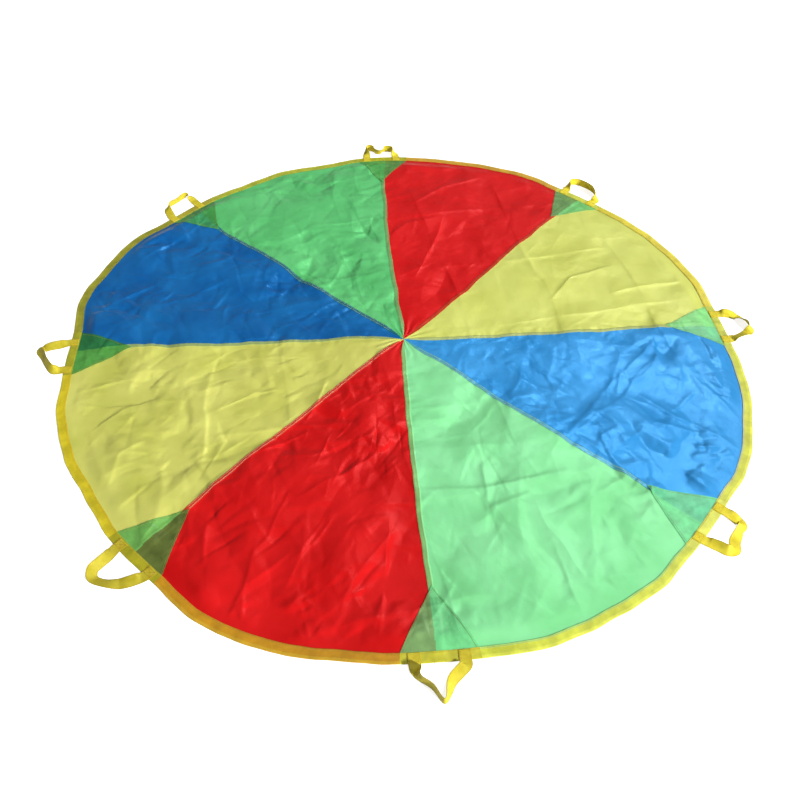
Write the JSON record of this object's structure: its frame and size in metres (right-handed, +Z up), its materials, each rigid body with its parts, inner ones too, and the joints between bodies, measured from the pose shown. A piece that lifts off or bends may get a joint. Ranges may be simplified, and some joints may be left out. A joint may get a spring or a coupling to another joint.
{
  "type": "play parachute",
  "caption": "Round flat cloth of coloured wedge panels with a bound edge, patches over the seams' ends and webbing hand loops.",
  "frame": {"origin": "on the floor, under the point where the eight panels meet", "axes": "+Z up, the cloth lies in XY; +X runs through the middle of the right-hand blue panel, the fold line runs along X, +Y to the back"},
  "size_m": [2.0039, 2.0016, 0.0288],
  "materials": {
    "red_taffeta": "satin taffeta",
    "yellow_taffeta": "satin taffeta",
    "green_taffeta": "satin taffeta",
    "blue_taffeta": "satin taffeta",
    "green_patch": "thin translucent taffeta",
    "yellow_binding": "thin woven tape",
    "yellow_webbing": "matte woven webbing"
  },
  "bodies": {
    "back_half": {"blue_gore_right_back": "blue_taffeta", "yellow_gore_back": "yellow_taffeta", "red_gore_back": "red_taffeta", "green_gore_back": "green_taffeta", "blue_gore_left_back": "blue_taffeta", "edge_binding_back": "yellow_binding", "seam_patch_right_back": "green_patch", "handle_right_back_sewn_end_a": "yellow_webbing", "handle_right_back_sewn_end_b": "yellow_webbing", "seam_patch_back_right": "green_patch", "handle_back_right_sewn_end_a": "yellow_webbing", "handle_back_right_sewn_end_b": "yellow_webbing", "seam_patch_back_left": "green_patch", "handle_back_left_sewn_end_a": "yellow_webbing", "handle_back_left_sewn_end_b": "yellow_webbing", "seam_patch_left_back": "green_patch", "handle_left_back_sewn_end_a": "yellow_webbing", "handle_left_back_sewn_end_b": "yellow_webbing"},
    "front_half": {"blue_gore_left_front": "blue_taffeta", "yellow_gore_front": "yellow_taffeta", "red_gore_front": "red_taffeta", "green_gore_front": "green_taffeta", "blue_gore_right_front": "blue_taffeta", "edge_binding_front": "yellow_binding", "seam_patch_left_front": "green_patch", "handle_left_front_sewn_end_a": "yellow_webbing", "handle_left_front_sewn_end_b": "yellow_webbing", "seam_patch_front_left": "green_patch", "handle_front_left_sewn_end_a": "yellow_webbing", "handle_front_left_sewn_end_b": "yellow_webbing", "seam_patch_front_right": "green_patch", "handle_front_right_sewn_end_a": "yellow_webbing", "handle_front_right_sewn_end_b": "yellow_webbing", "seam_patch_right_front": "green_patch", "handle_right_front_sewn_end_a": "yellow_webbing", "handle_right_front_sewn_end_b": "yellow_webbing"},
    "handle_right_back": {"handle_right_back_loop": "yellow_webbing"},
    "handle_back_right": {"handle_back_right_loop": "yellow_webbing"},
    "handle_back_left": {"handle_back_left_loop": "yellow_webbing"},
    "handle_left_back": {"handle_left_back_loop": "yellow_webbing"},
    "handle_left_front": {"handle_left_front_loop": "yellow_webbing"},
    "handle_front_left": {"handle_front_left_loop": "yellow_webbing"},
    "handle_front_right": {"handle_front_right_loop": "yellow_webbing"},
    "handle_right_front": {"handle_right_front_loop": "yellow_webbing"}
  },
  "joints": [
    {"name": "half_fold", "type": "hinge", "parent": "back_half", "child": "front_half", "pos_m": [0, 0, 0.004], "axis": [-1, 0, 0], "range_deg": [0, 170]},
    {"name": "flop_right_back", "type": "hinge", "parent": "back_half", "child": "handle_right_back", "pos_m": [0.90206, 0.37364, 0.0035], "axis": [-0.3827, 0.9239, 0], "range_deg": [-105, 85]},
    {"name": "flop_back_right", "type": "hinge", "parent": "back_half", "child": "handle_back_right", "pos_m": [0.37659, 0.90917, 0.0035], "axis": [-0.9239, 0.3827, 0], "range_deg": [-105, 85]},
    {"name": "flop_back_left", "type": "hinge", "parent": "back_half", "child": "handle_back_left", "pos_m": [-0.38105, 0.91992, 0.0035], "axis": [-0.9239, -0.3827, 0], "range_deg": [-105, 85]},
    {"name": "flop_left_back", "type": "hinge", "parent": "back_half", "child": "handle_left_back", "pos_m": [-0.91139, 0.37751, 0.0035], "axis": [-0.3827, -0.9239, 0], "range_deg": [-105, 85]},
    {"name": "flop_left_front", "type": "hinge", "parent": "front_half", "child": "handle_left_front", "pos_m": [-0.89935, -0.37252, 0.0035], "axis": [0.3827, -0.9239, 0], "range_deg": [-105, 85]},
    {"name": "flop_front_left", "type": "hinge", "parent": "front_half", "child": "handle_front_left", "pos_m": [-0.37525, -0.90593, 0.0035], "axis": [0.9239, -0.3827, 0], "range_deg": [-105, 85]},
    {"name": "flop_front_right", "type": "hinge", "parent": "front_half", "child": "handle_front_right", "pos_m": [0.37598, -0.90769, 0.0035], "axis": [0.9239, 0.3827, 0], "range_deg": [-105, 85]},
    {"name": "flop_right_front", "type": "hinge", "parent": "front_half", "child": "handle_right_front", "pos_m": [0.90914, -0.37658, 0.0035], "axis": [0.3827, 0.9239, 0], "range_deg": [-105, 85]}
  ]
}
